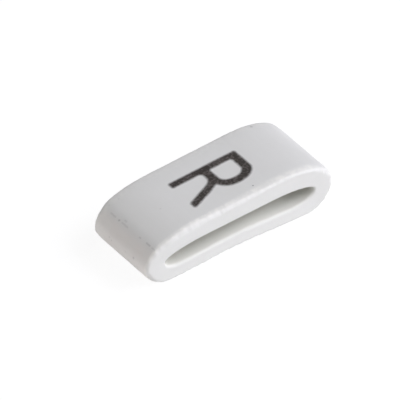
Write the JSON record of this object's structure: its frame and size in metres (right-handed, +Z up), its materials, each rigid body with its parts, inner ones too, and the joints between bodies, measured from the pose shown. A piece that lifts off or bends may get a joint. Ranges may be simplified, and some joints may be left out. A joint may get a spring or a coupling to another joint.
{
  "type": "cable marker",
  "caption": "Slide-on cable marker: a short slice of flattened white PVC tube with a flat oval opening for the cable and a printed letter on its top face.",
  "frame": {"origin": "bottom centre of the marker as it lies flat, legend side up", "axes": "+X along the width of the flattened section, towards its slightly taller end; +Y along the cable; +Z up, out of the legend side"},
  "size_m": [0.009, 0.0036, 0.0024],
  "materials": {
    "white_pvc": "satin extruded soft PVC with knife-cut ends",
    "legend_ink": "thin matt printed ink"
  },
  "bodies": {
    "root": {"marker_sleeve": "white_pvc"}
  },
  "joints": []
}
